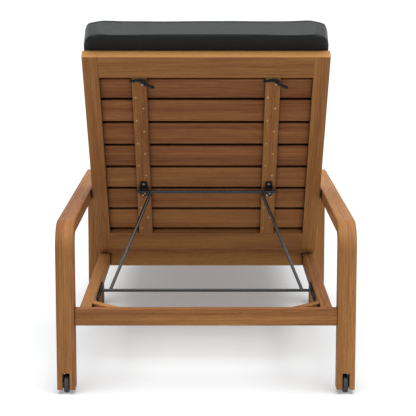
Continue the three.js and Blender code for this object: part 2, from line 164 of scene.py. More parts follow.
# What the cloth of a stuffed pad is like, in the cloth solver's units.
CLOTH = {"quality": 4, "mass": 0.25, "tension_stiffness": 22, "compression_stiffness": 22,
         "shear_stiffness": 12, "bending_stiffness": 1.2, "use_pressure": True, "uniform_pressure_force": 4}
STUFFING_FRAMES = 20

hinge = Vector(joints["back_recline"]["pos_m"])


def slope_axes():
    """The back's own axes: X across, Y from the hinge line to the head end, Z out of its front."""
    c, s = math.cos(RECLINE), math.sin(RECLINE)
    return Matrix(((1, 0, 0, hinge.x), (0, -c, s, hinge.y), (0, s, c, hinge.z), (0, 0, 0, 1)))


BACK = slope_axes()
TO_BACK = BACK.inverted()


def on_back(x, along, out):
    return BACK @ (Vector((x, along, out)) * MM)


def along_back(point):
    return (TO_BACK @ point).y / MM


# ---------------------------------------------------------------- node helper and colours


def linear(code):
    """An sRGB hex colour as linear RGBA."""
    parts = [int(code[i:i + 2], 16) / 255 for i in (1, 3, 5)]
    return (*(p / 12.92 if p <= 0.04045 else ((p + 0.055) / 1.055) ** 2.4 for p in parts), 1.0)


def add(material, kind, inputs=None, stops=None, **settings):
    """Adds a shader node. inputs gives a socket's value, or the output that feeds it. stops fills a colour
    ramp."""
    tree = material.node_tree
    made = tree.nodes.new("ShaderNode" + kind)
    for name, value in settings.items():
        setattr(made, name, value)
    for name, value in (inputs or {}).items():
        if isinstance(value, bpy.types.NodeSocket):
            tree.links.new(value, made.inputs[name])
        else:
            made.inputs[name].default_value = value
    if stops:
        ramp = made.color_ramp
        while len(ramp.elements) < len(stops):
            ramp.elements.new(1.0)
        for element, (place, colour) in zip(ramp.elements, stops):
            element.position = place
            element.color = colour
    return made


def new_material(name):
    material = bpy.data.materials.new(name)
    material.use_nodes = True
    material.node_tree.nodes.clear()
    return material


def grey(level):
    return (level, level, level, 1.0)


# ---------------------------------------------------------------- materials


def oiled_teak(name, light, middle, dark):
    """Plain-sawn teak, planed and oiled: growth rings cut along the board, fine fibre streaks and short dark
    pores. The oil gives it a low satin gloss that breaks up along the grain. Shade is painted into its colour
    in the narrow gaps between boards and in inner corners."""
    m = new_material(name)
    board = add(m, "Attribute", attribute_name="board")
    tone = add(m, "Attribute", attribute_name="tone").outputs["Fac"]
    place = board.outputs["Vector"]
    # Rings 6 mm apart round a pith outside the board, drawn out 30 times along the grain.
    drawn = add(m, "Mapping", {"Vector": place, "Scale": (0.035, 1.0, 1.0)}).outputs["Vector"]
    rings = add(m, "TexWave", {"Vector": drawn, "Scale": 0.314 / (6 * MM), "Distortion": 9.0,
                "Detail": 3.0, "Detail Scale": 0.55, "Detail Roughness": 0.6},
                wave_type="RINGS", rings_direction="X", wave_profile="SAW")
    # Fibre streaks 2.5 mm wide, and finer ones under 1 mm.
    streak = add(m, "TexNoise", {"Vector": drawn, "Scale": 1 / (2.5 * MM), "Detail": 4.0, "Roughness": 0.62})
    fine = add(m, "Mapping", {"Vector": place, "Scale": (0.02, 1.0, 1.0)}).outputs["Vector"]
    fibre = add(m, "TexNoise", {"Vector": fine, "Scale": 1 / (0.8 * MM), "Detail": 2.0})
    # Broad bands, about 30 mm across, where the heartwood runs darker.
    band = add(m, "TexNoise", {"Vector": drawn, "Scale": 1 / (32 * MM), "Detail": 2.5, "Distortion": 0.6})
    # Pores: dark dashes 0.9 mm wide and about 15 mm long.
    pore_place = add(m, "Mapping", {"Vector": place, "Scale": (0.06, 1.0, 1.0)}).outputs["Vector"]
    pore = add(m, "TexNoise", {"Vector": pore_place, "Scale": 1 / (0.9 * MM), "Detail": 1.0})
    pores = add(m, "MapRange", {"Value": pore.outputs["Fac"], "From Min": 0.60, "From Max": 0.72})
    # The patterns are added up, each with its share, and the tone that the board was picked for.
    figure = 0.0
    for pattern, share in ((rings.outputs["Fac"], 0.20), (streak.outputs["Fac"], 0.95),
                           (band.outputs["Fac"], 1.0), (fibre.outputs["Fac"], 0.22), (tone, 0.40)):
        figure = add(m, "Math", {0: pattern, 1: share, 2: figure}, operation="MULTIPLY_ADD").outputs[0]
    spread = add(m, "MapRange", {"Value": figure, "From Min": 0.74, "From Max": 1.56})
    colour = add(m, "ValToRGB", {"Fac": spread.outputs[0]},
                 stops=[(0.0, linear(light)), (0.5, linear(middle)), (1.0, linear(dark))])
    pore_share = add(m, "Math", {0: pores.outputs[0], 1: 0.45}, operation="MULTIPLY")
    with_pores = add(m, "Mix", {"Factor": pore_share.outputs[0], 6: colour.outputs["Color"],
                     7: linear("#5b371c")}, data_type="RGBA")
    # Painted shade: the colour darkens towards near-black where the sky can't be seen within 16 mm, in gaps and
    # inner corners.
    open_sky = add(m, "AmbientOcclusion", {"Distance": 16 * MM}, samples=6)
    painted_gap_shade = add(m, "MapRange", {"Value": open_sky.outputs["AO"], "From Min": 0.32, "From Max": 0.72,
                "To Min": 1.0, "To Max": 0.0})
    gap_shaded_colour = add(m, "Mix", {"Factor": painted_gap_shade.outputs[0], 6: with_pores.outputs[2], 7: linear("#1a0f08")},
               data_type="RGBA")
    rough = add(m, "MapRange", {"Value": streak.outputs["Fac"], "To Min": 0.48, "To Max": 0.68})
    height = add(m, "Math", {0: pores.outputs[0], 1: -0.6, 2: fibre.outputs["Fac"]}, operation="MULTIPLY_ADD")
    bump = add(m, "Bump", {"Height": height.outputs[0], "Strength": 0.35, "Distance": 0.25 * MM})
    shader = add(m, "BsdfPrincipled", {"Base Color": gap_shaded_colour.outputs[2], "Roughness": rough.outputs[0],
                 "Normal": bump.outputs["Normal"], "IOR": 1.45, "Specular IOR Level": 0.2})
    add(m, "OutputMaterial", {"Surface": shader.outputs[0]})
    return m


def woven_canvas(name, warp, weft, pitch, sheen, rough, shine=0.42):
    """Solution-dyed acrylic canvas in a plain weave, with a soft sheen where it turns away."""
    m = new_material(name)
    place = add(m, "Attribute", attribute_name="board").outputs["Vector"]
    split = add(m, "SeparateXYZ", {0: place})
    weave = 0.0
    for axis in ("X", "Y", "Z"):
        turns = add(m, "Math", {0: split.outputs[axis], 1: 2 * math.pi / pitch}, operation="MULTIPLY")
        thread = add(m, "Math", {0: turns.outputs[0]}, operation="SINE")
        weave = add(m, "Math", {0: thread.outputs[0], 1: weave}, operation="ADD").outputs[0]
    # Slubs: short thicker runs of yarn, about 3 mm by 25 mm, both ways of the cloth.
    slubs = 0.0
    for drawn_out in ((0.12, 1.0, 1.0), (1.0, 0.12, 1.0)):
        way = add(m, "Mapping", {"Vector": place, "Scale": drawn_out}).outputs["Vector"]
        noise = add(m, "TexNoise", {"Vector": way, "Scale": 1 / (3 * MM), "Detail": 2.0})
        slubs = add(m, "Math", {0: noise.outputs["Fac"], 1: slubs}, operation="ADD").outputs[0]
    fleck = add(m, "Math", {0: weave, 1: 0.10, 2: slubs}, operation="MULTIPLY_ADD")
    share = add(m, "MapRange", {"Value": fleck.outputs[0], "From Min": 0.7, "From Max": 1.3})
    colour = add(m, "Mix", {"Factor": share.outputs[0], 6: linear(warp), 7: linear(weft)}, data_type="RGBA")
    height = add(m, "Math", {0: weave, 1: 0.35, 2: slubs}, operation="MULTIPLY_ADD")
    bump = add(m, "Bump", {"Height": height.outputs[0], "Strength": 0.5, "Distance": 0.5 * MM})
    shader = add(m, "BsdfPrincipled", {"Base Color": colour.outputs[2], "Roughness": rough,
                 "Sheen Weight": sheen, "Sheen Roughness": 0.45, "Specular IOR Level": shine,
                 "Normal": bump.outputs["Normal"]})
    add(m, "OutputMaterial", {"Surface": shader.outputs[0]})
    return m


def fine_skin(name, base, high, grit, roughness, metallic=0.0, shine=0.5):
    """A sprayed, plated or moulded skin: finely uneven at the grit's size in millimetres, with a colour and a
    gloss that vary a little in patches."""
    m = new_material(name)
    place = add(m, "TexCoord").outputs["Object"]
    peel = add(m, "TexNoise", {"Vector": place, "Scale": 1 / (grit * MM), "Detail": 2.0})
    patch = add(m, "TexNoise", {"Vector": place, "Scale": 1 / (24 * MM), "Detail": 3.0})
    colour = add(m, "Mix", {"Factor": patch.outputs["Fac"], 6: linear(base), 7: linear(high)},
                 data_type="RGBA")
    rough = add(m, "MapRange", {"Value": patch.outputs["Fac"], "From Min": 0.3, "From Max": 0.7,
                "To Min": roughness - 0.06, "To Max": roughness + 0.08})
    bump = add(m, "Bump", {"Height": peel.outputs["Fac"], "Strength": 0.3, "Distance": 0.06 * MM})
    shader = add(m, "BsdfPrincipled", {"Base Color": colour.outputs[2], "Metallic": metallic,
                 "Roughness": rough.outputs[0], "Normal": bump.outputs["Normal"],
                 "Specular IOR Level": shine})
    add(m, "OutputMaterial", {"Surface": shader.outputs[0]})
    return m


# Golden brown boards, and thinner slats a little darker and redder.
teak = oiled_teak("teak_oiled_boards", "#c69054", "#ad7846", "#865331")
teak_slats = oiled_teak("teak_oiled_slats", "#c28a54", "#a77044", "#7b482c")
# Acrylic canvas is a warm near-black that its sheen turns grey. The polyester base is flatter, and its darker
# colour is painted shade on the pad's underside. The ties' tape is blue-black. The weave is drawn two to three
# times too coarse, so that it shows.
canvas = woven_canvas("charcoal_acrylic_canvas", "#191b1c", "#282a2b", 2.2 * MM, 0.12, 0.46)
shaded_underside_cloth = woven_canvas("black_pad_base_painted_shade", "#141516", "#1e1f20", 2.2 * MM, 0.06, 0.65, 0.22)
tape = woven_canvas("black_polyester_tape", "#0d1418", "#1a242b", 1.6 * MM, 0.15, 0.7, 0.25)
# Powder coat is deep black and satin, and on the prop's smooth rods it is glossier.
powder_coat = fine_skin("black_powder_coated_steel", "#08090a", "#101112", 0.8, 0.42, shine=0.25)
prop_coat = fine_skin("prop_powder_coated_steel", "#121416", "#1c1e20", 0.8, 0.20)
# Zinc plate is pale and satin, brass is yellow and dulled outdoors, and moulded nylon is an even dark grey.
zinc = fine_skin("zinc_plated_steel", "#b9bab6", "#d2d2cc", 1.2, 0.32, metallic=1.0)
brass = fine_skin("brass_screws", "#c9a877", "#dcc39b", 0.6, 0.36, metallic=1.0)
nylon = fine_skin("grey_moulded_nylon", "#2e3134", "#3a3d40", 0.5, 0.5)

# How much darker (up) or lighter (down) than the usual a board was picked.
TONES = {"back_top_rail": 0.1, "rear_crossbeam": 0.45, "hinge_crossbeam": -0.9, "back_bottom_rail": 0.2,
         "arm left": 0.45, "arm right": -0.3, "back_slat_1": -0.15, "back_slat_2": 0.1, "back_slat_3": -0.3,
         "back_slat_4": 0.15, "back_slat_5": 0.1, "back_slat_6": 0.2, "back_slat_7": 0.4}
PAINTED_LIGHT_TONE = -2.2                    # painted light: the back's top edge is drawn lighter than the boards, where the light falls on it

# ---------------------------------------------------------------- mesh helpers


def finish_mesh(name, bm, body, material, replaces=(), smooth=True, weighted=True):
    """Turns bm into a shown piece that rides on body. weighted evens out the shading of its flat faces."""
    mesh = bpy.data.meshes.new(name)
    bm.to_mesh(mesh)
    bm.free()
    for polygon in mesh.polygons:
        polygon.use_smooth = smooth
    piece = bpy.data.objects.new(name, mesh)
    scene.collection.objects.link(piece)
    mesh.materials.append(material)
    if weighted:
        piece.modifiers.new("even normals", "WEIGHTED_NORMAL").keep_sharp = True
    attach(piece, body)
    if replaces:
        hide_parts(*replaces)


def mark_board(bm, axes, key, spread=1.0, centre=None, tone_key=None):
    """Gives each point its place in the board's own axes, shifted so that each board is cut from another spot
    of the log, and gives the board its tone. Boards with the same key and centre are cut from one plank. axes
    is a matrix, or a function where the grain follows a bend."""
    draw = random.Random(key)
    shift = Vector((draw.uniform(-4, 4), draw.choice((-1, 1)) * draw.uniform(25, 70) * MM,
                    draw.uniform(20, 60) * MM))
    picked = tone_key or key
    tone = TONES.get(picked, random.Random(f"tone {picked}").uniform(-0.5, 0.5) * spread)
    place = bm.verts.layers.float_vector.get("board") or bm.verts.layers.float_vector.new("board")
    shade = bm.verts.layers.float.get("tone") or bm.verts.layers.float.new("tone")
    own = [axes(v.co) if callable(axes) else axes @ v.co for v in bm.verts]
    if centre is None:
        centre = Vector([(min(p[i] for p in own) + max(p[i] for p in own)) / 2 for i in range(3)])
    for v, p in zip(bm.verts, own):
        v[place] = p - centre + shift
        v[shade] = tone


def ease_edges(bm, radius, keep_sharp=None, segments=3, angle=35, shortest=2.2):
    """Rounds the outer edges that turn more than angle, as a sander leaves them. Those that keep_sharp picks
    stay as they are, and so do those of bores, which are shorter than shortest times the radius."""
    bmesh.ops.remove_doubles(bm, verts=bm.verts, dist=1e-5)
    bmesh.ops.dissolve_limit(bm, angle_limit=math.radians(1), verts=bm.verts, edges=bm.edges)
    chosen = [e for e in bm.edges if len(e.link_faces) == 2 and e.is_convex
              and e.calc_face_angle() > math.radians(angle) and e.calc_length() > shortest * radius
              and not (keep_sharp and keep_sharp(e))]
    if radius:
        bmesh.ops.bevel(bm, geom=chosen, offset=radius, segments=segments, profile=0.5, affect="EDGES",
                        clamp_overlap=True)
    crease(bm, 50)


def crease(bm, angle):
    """Keeps the shading crisp across edges that turn more than angle."""
    for e in bm.edges:
        if len(e.link_faces) == 2 and e.calc_face_angle() > math.radians(angle):
            e.smooth = False


ALONG = {
    "X": Matrix.Identity(4),
    "Y": Matrix(((0, 1, 0, 0), (1, 0, 0, 0), (0, 0, 1, 0), (0, 0, 0, 1))),
    "Z": Matrix(((0, 0, 1, 0), (1, 0, 0, 0), (0, 1, 0, 0), (0, 0, 0, 1))),
}


def board_from(node, body, grain, radius=BOARD_EASE, keep_sharp=None, material=None, plank=None,
               centre=None, tone_key=None, shortest=2.2, painted_light_end=None, trim=None):
    """A board of the frame with eased edges and the grain along it. painted_light_end picks the points that are
    drawn lighter, as painted light on the top edge, and trim gives what is planed off the lower and the upper
    edge of a slat of the back."""
    bm = bmesh.new()
    bm.from_mesh(frame["nodes"][node].data)
    if trim:
        rise = BACK.to_3x3() @ Vector((0, 1, 0))
        along = [rise.dot(v.co) for v in bm.verts]
        middle = (min(along) + max(along)) / 2
        for v, place in zip(bm.verts, along):
            v.co += rise * MM * (trim[0] if place < middle else -trim[1])
    ease_edges(bm, radius * MM, keep_sharp, shortest=shortest)
    mark_board(bm, grain, plank or node, centre=centre, tone_key=tone_key)
    # Painted light: the picked points on the back's top edge get a lighter tone, as if lit.
    if painted_light_end:
        shade = bm.verts.layers.float["tone"]
        for v in bm.verts:
            if painted_light_end(v.co):
                v[shade] = PAINTED_LIGHT_TONE
    finish_mesh("board_" + node, bm, body, material or teak, [node])


def cut_board(bm, low, high, axes, key):
    """Adds a seat board to bm, from two of its corners in metres."""
    one = bmesh.new()
    box_into(one, low, high)
    ease_edges(one, SEAT_SLAT_EASE * MM)
    mark_board(one, axes, key)
    join_into(bm, one)


def marked_mesh():
    """An empty mesh whose points keep their place in the board or cloth they are cut from, and its tone."""
    bm = bmesh.new()
    bm.verts.layers.float_vector.new("board")
    bm.verts.layers.float.new("tone")
    return bm


def box_into(bm, low, high, axes=None):
    """Adds a box to bm, from its two corners in the given axes."""
    for v in bmesh.ops.create_cube(bm, size=1.0)["verts"]:
        v.co = Vector([low[i] + (v.co[i] + 0.5) * (high[i] - low[i]) for i in range(3)])
        if axes is not None:
            v.co = axes @ v.co


def join_into(target, source):
    """Copies source's mesh into target and frees source."""
    mesh = bpy.data.meshes.new("part")
    source.to_mesh(mesh)
    source.free()
    target.from_mesh(mesh)
    bpy.data.meshes.remove(mesh)


def lathe_into(bm, profile, axes, steps=24):
    """Turns a profile of (radius, height) points about the Z of axes, into bm."""
    rings = []
    for radius, height in profile:
        if radius < 1e-9:
            rings.append([bm.verts.new(axes @ Vector((0, 0, height)))])
            continue
        rings.append([bm.verts.new(axes @ Vector((radius * math.cos(a), radius * math.sin(a), height)))
                      for a in (2 * math.pi * k / steps for k in range(steps))])
    for a, b in zip(rings, rings[1:]):
        for k in range(steps):
            n = (k + 1) % steps
            if len(a) == 1 and len(b) == 1:
                continue
            if len(a) == 1:
                bm.faces.new((a[0], b[k], b[n]))
            elif len(b) == 1:
                bm.faces.new((a[k], b[0], a[n]))
            else:
                bm.faces.new((a[k], b[k], b[n], a[n]))


def tube_into(bm, path, radius, closed=False, sides=8, squash=1.0, twist=0.0, taper=None):
    """Sweeps a round or flattened section along path, into bm. twist is in turns from end to end."""
    count = len(path)
    rings, normal = [], None
    for k in range(count):
        ahead = path[(k + 1) % count] if closed or k + 1 < count else path[k]
        behind = path[k - 1] if closed or k else path[k]
        tangent = (ahead - behind).normalized()
        if normal is None:
            guess = Vector((0, 0, 1)) if abs(tangent.z) < 0.9 else Vector((1, 0, 0))
            normal = tangent.cross(guess).normalized()
        normal = (normal - tangent * normal.dot(tangent)).normalized()
        side = tangent.cross(normal)
        size = radius * (taper(k / (count - 1)) if taper else 1.0)
        turn = 2 * math.pi * twist * k / count
        ring = []
        for s in range(sides):
            a = 2 * math.pi * s / sides
            u, v = math.cos(a), math.sin(a) * squash
            u, v = u * math.cos(turn) - v * math.sin(turn), u * math.sin(turn) + v * math.cos(turn)
            ring.append(bm.verts.new(path[k] + (normal * u + side * v) * size))
        rings.append(ring)
    pairs = zip(rings, rings[1:] + rings[:1]) if closed else zip(rings, rings[1:])
    for a, b in pairs:
        for s in range(sides):
            n = (s + 1) % sides
            bm.faces.new((a[s], a[n], b[n], b[s]))
    if not closed:
        bm.faces.new(list(reversed(rings[0])))
        bm.faces.new(rings[-1])


def smooth_path(points, steps=6):
    """A curve through the points, with steps straight runs between each two."""
    path = []
    for k in range(len(points) - 1):
        p0, p1, p2, p3 = (Vector(points[min(max(n, 0), len(points) - 1)]) for n in range(k - 1, k + 3))
        for t in (s / steps for s in range(steps)):
            path.append(0.5 * (2 * p1 + (p2 - p0) * t + (2 * p0 - 5 * p1 + 4 * p2 - p3) * t * t
                               + (3 * p1 - p0 - 3 * p2 + p3) * t ** 3))
    return path + [Vector(points[-1])]


# ---------------------------------------------------------------- teak frame

back_grain = ALONG["Y"] @ TO_BACK
back_cross = TO_BACK


def in_plane(edge, axis, places):
    """Whether an edge lies in a joint between two boards, which are sanded flush together."""
    return any(all(abs(v.co[axis] / MM - p) < 0.5 for v in edge.verts) for p in places)


def panel_joint(edge):
    """Whether an edge is where a panel's stile and its rails meet, which are flush."""
    a, b = (v.co.x / MM for v in edge.verts)
    return abs(a - b) < 1 and PANEL_JOINT[0] < abs(a) < PANEL_JOINT[1]


def batten_end(edge):
    """Whether an edge goes across a batten's end, which is sawn off square."""
    return all(not BACK_BATTEN[0] < along_back(v.co) < BACK_BATTEN[1] for v in edge.verts) and (
        edge.calc_length() < 1.5 * BATTEN_WIDTH * MM)


def at_back_top(point):
    return along_back(point) > BACK_TOP - 0.1


def leg_foot(edge):
    """Whether an edge is round a leg's sole or its wheel slot, which are only just broken."""
    return all(v.co.z / MM < SOLE_TOP for v in edge.verts) or all(
        v.co.z / MM < WHEEL_SLOT_TOP and WHEEL_SLOT[0] < abs(v.co.x / MM) < WHEEL_SLOT[1]
        for v in edge.verts)


def loop_joint(edge):
    return in_plane(edge, 2, (LOOP_JOINT_Z,)) or in_plane(edge, 1, LOOP_JOINT_Y) or leg_foot(edge)


def round_the_loop(sign):
    """The grain's own axes in an arm loop: up the rear leg, round the corner and along the arm."""
    turn_y, turn_z = LOOP_ENDS[0] + LOOP_RADIUS, LOOP_TOP - LOOP_RADIUS
    middle = sum(LOOP_ENDS) / 2

    def place(point):
        x, y, z = point / MM
        y = min(y, 2 * middle - y)      # the front corner mirrors the rear one
        if z < turn_z and y < turn_y:
            along, depth = z - turn_z, y - LOOP_ENDS[0]
        elif y < turn_y:
            angle = math.atan2(z - turn_z, turn_y - y)
            along, depth = LOOP_GRAIN_RADIUS * angle, LOOP_RADIUS - math.hypot(z - turn_z, turn_y - y)
        else:
            along, depth = LOOP_GRAIN_RADIUS * math.pi / 2 + y - turn_y, LOOP_TOP - z
        return Vector((along, x - sign * LOOP_CENTRE[0], depth - LOOP_CENTRE[1])) * MM
    return place


for side, sign in SIDES:
    tone = f"arm {side}"
    loop = round_the_loop(sign)
    for leg, corner in (("rear_leg", "rear_corner"), ("front_arm_leg", "front_corner")):
        for part, shortest in ((leg, 2.2), (corner, 0)):
            board_from(f"{part}_{side}", "frame", loop, ARM_EASE, loop_joint, plank=f"{leg} {side}",
                       centre=Vector(), tone_key=tone, shortest=shortest)
    board_from(f"armrest_{side}", "frame", ALONG["Y"], ARM_EASE, loop_joint, tone_key=tone)
    for part, grain, radius in (("side_rail", "Y", BOARD_EASE), ("rail_spacer", "Y", BRACE_EASE),
                                ("foot_leg", "Z", ARM_EASE), ("rear_brace", "X", BRACE_EASE),
                                ("foot_brace", "X", BRACE_EASE)):
        board_from(f"{part}_{side}", "frame", ALONG[grain], radius)
    board_from(f"seat_stile_{side}", "frame", ALONG["Y"], keep_sharp=panel_joint)
    board_from(f"back_stile_{side}", "back", back_grain, keep_sharp=panel_joint, painted_light_end=at_back_top)
    board_from(f"back_batten_{side}", "back", back_grain, BRACE_EASE, batten_end)
for node in ("rear_crossbeam", "hinge_crossbeam", "middle_crossbeam", "foot_crossbeam", "seat_head_rail",
             "seat_foot_rail"):
    board_from(node, "frame", ALONG["X"], keep_sharp=panel_joint)
board_from("back_top_rail", "back", back_cross, keep_sharp=panel_joint, plank="upper rail",
           painted_light_end=at_back_top, tone_key="back_top_rail")
board_from("back_bottom_rail", "back", back_cross, keep_sharp=panel_joint)
for k in range(BACK_SLATS):
    last = k == BACK_SLATS - 1
    board_from(f"back_slat_{k + 1}", "back", back_cross, BACK_SLAT_EASE, material=teak_slats,
               trim=(SLAT_TRIM, TOP_SLAT_TRIM if last else SLAT_TRIM))

# The seat's slats and the two battens under them, each a board of its own.
seat_low, seat_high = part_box("seat_slats")
slats = marked_mesh()
slat_base = (PANEL_TOP - SLAT_THICKNESS) * MM
slat_span = ((seat_high.y - seat_low.y) - (SEAT_SLATS - 1) * SEAT_SLAT_GAP * MM) / SEAT_SLATS
slat_starts = [seat_low.y + k * (slat_span + SEAT_SLAT_GAP * MM) for k in range(SEAT_SLATS)]
for k, y0 in enumerate(slat_starts):
    cut_board(slats, (seat_low.x, y0, slat_base), (seat_high.x, y0 + slat_span, seat_high.z), ALONG["X"],
              f"seat slat {k}")
for side, sign in SIDES:
    cut_board(slats, ((sign * BATTEN_CENTRE - BATTEN_WIDTH / 2) * MM, seat_low.y, seat_low.z),
              ((sign * BATTEN_CENTRE + BATTEN_WIDTH / 2) * MM, seat_high.y, slat_base), ALONG["Y"],
              f"seat batten {side}")
finish_mesh("boards_seat_slats", slats, "frame", teak_slats, ["seat_slats"])

# ---------------------------------------------------------------- screws and plugs


def facing(place, normal):
    """Axes at place with Z along normal."""
    return Matrix.Translation(place) @ normal.normalized().to_track_quat("Z", "Y").to_matrix().to_4x4()


def screw_into(bm, axes, radius, key):
    """A countersunk screw's head, level with the wood, with a cross recess."""
    turn = axes @ Matrix.Rotation(random.Random(key).uniform(0, math.pi), 4, "Z")
    r, arm, half = radius * MM, 0.58 * radius * MM, 0.13 * radius * MM
    lathe_into(bm, [(r, -0.5 * MM), (r, 0.12 * MM), (0.9 * r, 0.3 * MM)], turn, 20)
    ring = list(bm.verts)[-20:]
    cross = []
    for quarter in range(4):
        spin = Matrix.Rotation(quarter * math.pi / 2, 4, "Z")
        for x, y in ((arm, -half), (arm, half), (half, half)):
            cross.append(bm.verts.new(turn @ (spin @ Vector((x, y, 0.34 * MM)))))
    floor = [bm.verts.new(v.co - turn.to_3x3() @ Vector((0, 0, 0.9 * MM))) for v in cross]
    edges = [bm.edges.get((ring[k], ring[(k + 1) % 20])) for k in range(20)]
    edges += [bm.edges.new((cross[k], cross[(k + 1) % 12])) for k in range(12)]
    bmesh.ops.triangle_fill(bm, use_beauty=True, use_dissolve=False, edges=edges)
    for k in range(12):
        n = (k + 1) % 12
        bm.faces.new((cross[k], cross[n], floor[n], floor[k]))
    bm.faces.new(floor)


def screws(use, side, body, places, normal, material):
    """The screws of one use on one side of the lounger, as one piece."""
    name = f"{use}_screws_{side}"
    bm = bmesh.new()
    for k, place in enumerate(places):
        one = bmesh.new()
        screw_into(one, facing(place, normal), SCREW_RADIUS[use], f"{name} {k}")
        bmesh.ops.recalc_face_normals(one, faces=one.faces)
        join_into(bm, one)
    finish_mesh(name, bm, body, material, smooth=False, weighted=False)


back_rear_normal = BACK.to_3x3() @ Vector((0, 0, -1))
for side, sign in SIDES:
    centre = sign * BATTEN_CENTRE
    places = []
    for k in range(BACK_SLATS):
        start = BACK_SLAT_START + k * BACK_SLAT_PITCH
        places.append(on_back(centre + SCREW_ACROSS[0], start + SCREW_FROM_EDGE, BACK_REAR))
        places.append(on_back(centre + SCREW_ACROSS[1], start + BACK_SLAT_WIDTH - SCREW_FROM_EDGE, BACK_REAR))
    clear = [p for p in places if abs(along_back(p) - ROD_ALONG) >= BRACKET_CLEAR]
    screws("batten", side, "back", clear, back_rear_normal, brass)
    screws("bracket", side, "back",
           [on_back(centre + x, ROD_ALONG + along, BRACKET_FACE - BRACKET_SHEET)
            for x, along in BRACKET_SCREWS],
           back_rear_normal, brass)
    rack_low, rack_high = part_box(f"rack_{side}")
    inner = rack_high.x if sign < 0 else rack_low.x
    screws("rack", side, "frame",
           [Vector((inner, y, z))
            for y in (rack_low.y + RACK_SCREW_ENDS[0] * MM, (rack_low.y + rack_high.y) / 2,
                      rack_high.y - RACK_SCREW_ENDS[1] * MM)
            for z in (rack_low.z + RACK_SCREW_EDGE * MM, rack_high.z - RACK_SCREW_EDGE * MM)],
           Vector((-sign, 0, 0)), powder_coat)
    seat_places = []
    for y0 in slat_starts:
        seat_places += [Vector(((centre + SCREW_ACROSS[0]) * MM, y0 + SCREW_FROM_EDGE * MM, seat_low.z)),
                        Vector(((centre + SCREW_ACROSS[1]) * MM, y0 + slat_span - SCREW_FROM_EDGE * MM,
                                seat_low.z))]
    screws("seat_batten", side, "frame", seat_places, Vector((0, 0, -1)), brass)


def plugs(name, places, normal):
    """Teak plugs over the bolts, cut across the grain and sanded almost level."""
    bm = marked_mesh()
    for k, place in enumerate(places):
        one = bmesh.new()
        r = PLUG_RADIUS * MM
        lathe_into(one, [(r, -1.0 * MM), (r, 0.0), (0.93 * r, 0.22 * MM), (0.5 * r, 0.3 * MM), (0, 0.3 * MM)],
                   facing(place, normal), 28)
        bmesh.ops.recalc_face_normals(one, faces=one.faces)
        mark_board(one, ALONG["Z"], f"{name} {k}", 2.2)
        join_into(bm, one)
    finish_mesh(name, bm, "frame", teak)


for side, sign in SIDES:
    leg_low, leg_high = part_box(f"rear_leg_{side}")
    outer = leg_low.x if sign < 0 else leg_high.x
    plugs(f"bolt_plugs_{side}", [Vector((outer, y * MM, z * MM)) for y, z in BOLTS], Vector((sign, 0, 0)))

# ---------------------------------------------------------------- steel fittings


def metal_from(node, body, material, radius, skin=0.0):
    """A steel fitting with its cut edges just broken, and its paint skin millimetres thick. The ends of the
    prop's pins, which stand in the racks, are bare."""
    bm = bmesh.new()
    bm.from_mesh(frame["nodes"][node].data)
    ease_edges(bm, radius * MM, segments=2, angle=40, shortest=0)
    if skin:
        bm.normal_update()
        for v, normal in [(v, v.normal.copy()) for v in bm.verts if abs(v.co.x) < PIN_START * MM]:
            v.co += normal * skin * MM
    crease(bm, 38)
    finish_mesh("steel_" + node, bm, body, material, [node])


def ear_reach(angle):
    """How far an ear's outline is from the rod's middle: round at its tip, wider where it meets the plate."""
    across_ear, to_plate = abs(math.cos(angle)), math.sin(angle)
    if to_plate <= 0:
        return EAR_TIP
    return max(EAR_TIP, min(PLATE_REACH / max(to_plate, 0.01), EAR_ROOT / max(across_ear, 0.01)))


def rod_bracket(side, sign):
    """A plate screwed to the batten, with two ears turned up that the rod runs through."""
    centre, steps = sign * BATTEN_CENTRE, 32
    bm = bmesh.new()
    box_into(bm, (centre - BRACKET_WIDTH / 2, ROD_ALONG - BRACKET_LENGTH / 2, BRACKET_FACE - BRACKET_SHEET),
             (centre + BRACKET_WIDTH / 2, ROD_ALONG + BRACKET_LENGTH / 2, BRACKET_FACE))
    ease_edges(bm, 0.5, segments=2)
    for outer in (-1, 1):
        ear = bmesh.new()
        outside = centre + outer * BRACKET_WIDTH / 2
        inside = outside - outer * EAR_SHEET
        rings = []
        for x, bore in ((outside, False), (outside, True), (inside, True), (inside, False)):
            ring = []
            for k in range(steps):
                angle = 2 * math.pi * k / steps
                reach = EAR_BORE if bore else ear_reach(angle)
                ring.append(ear.verts.new((x, ROD_ALONG + reach * math.cos(angle),
                                           ROD_STAND_OFF + reach * math.sin(angle))))
            rings.append(ring)
        for a, b in zip(rings, rings[1:] + rings[:1]):
            for k in range(steps):
                n = (k + 1) % steps
                ear.faces.new((a[k], a[n], b[n], b[k]))
        bmesh.ops.recalc_face_normals(ear, faces=ear.faces)
        join_into(bm, ear)
    bmesh.ops.transform(bm, matrix=BACK @ Matrix.Scale(MM, 4), verts=bm.verts)
    crease(bm, 38)
    finish_mesh(f"steel_rod_bracket_{side}", bm, "back", powder_coat, [f"rod_bracket_{side}"])


metal_from("prop_frame", "prop", prop_coat, 0.0, skin=0.45)
for side, sign in SIDES:
    metal_from(f"rack_{side}", "frame", powder_coat, 0.3)
    rod_bracket(side, sign)
    metal_from(f"seat_hinge_leaf_{side}", "frame", zinc, 0.25)
    metal_from(f"back_hinge_leaf_{side}", "back", zinc, 0.25)
    metal_from(f"wheel_axle_{side}", "frame", zinc, 0.6)

# ---------------------------------------------------------------- wheels


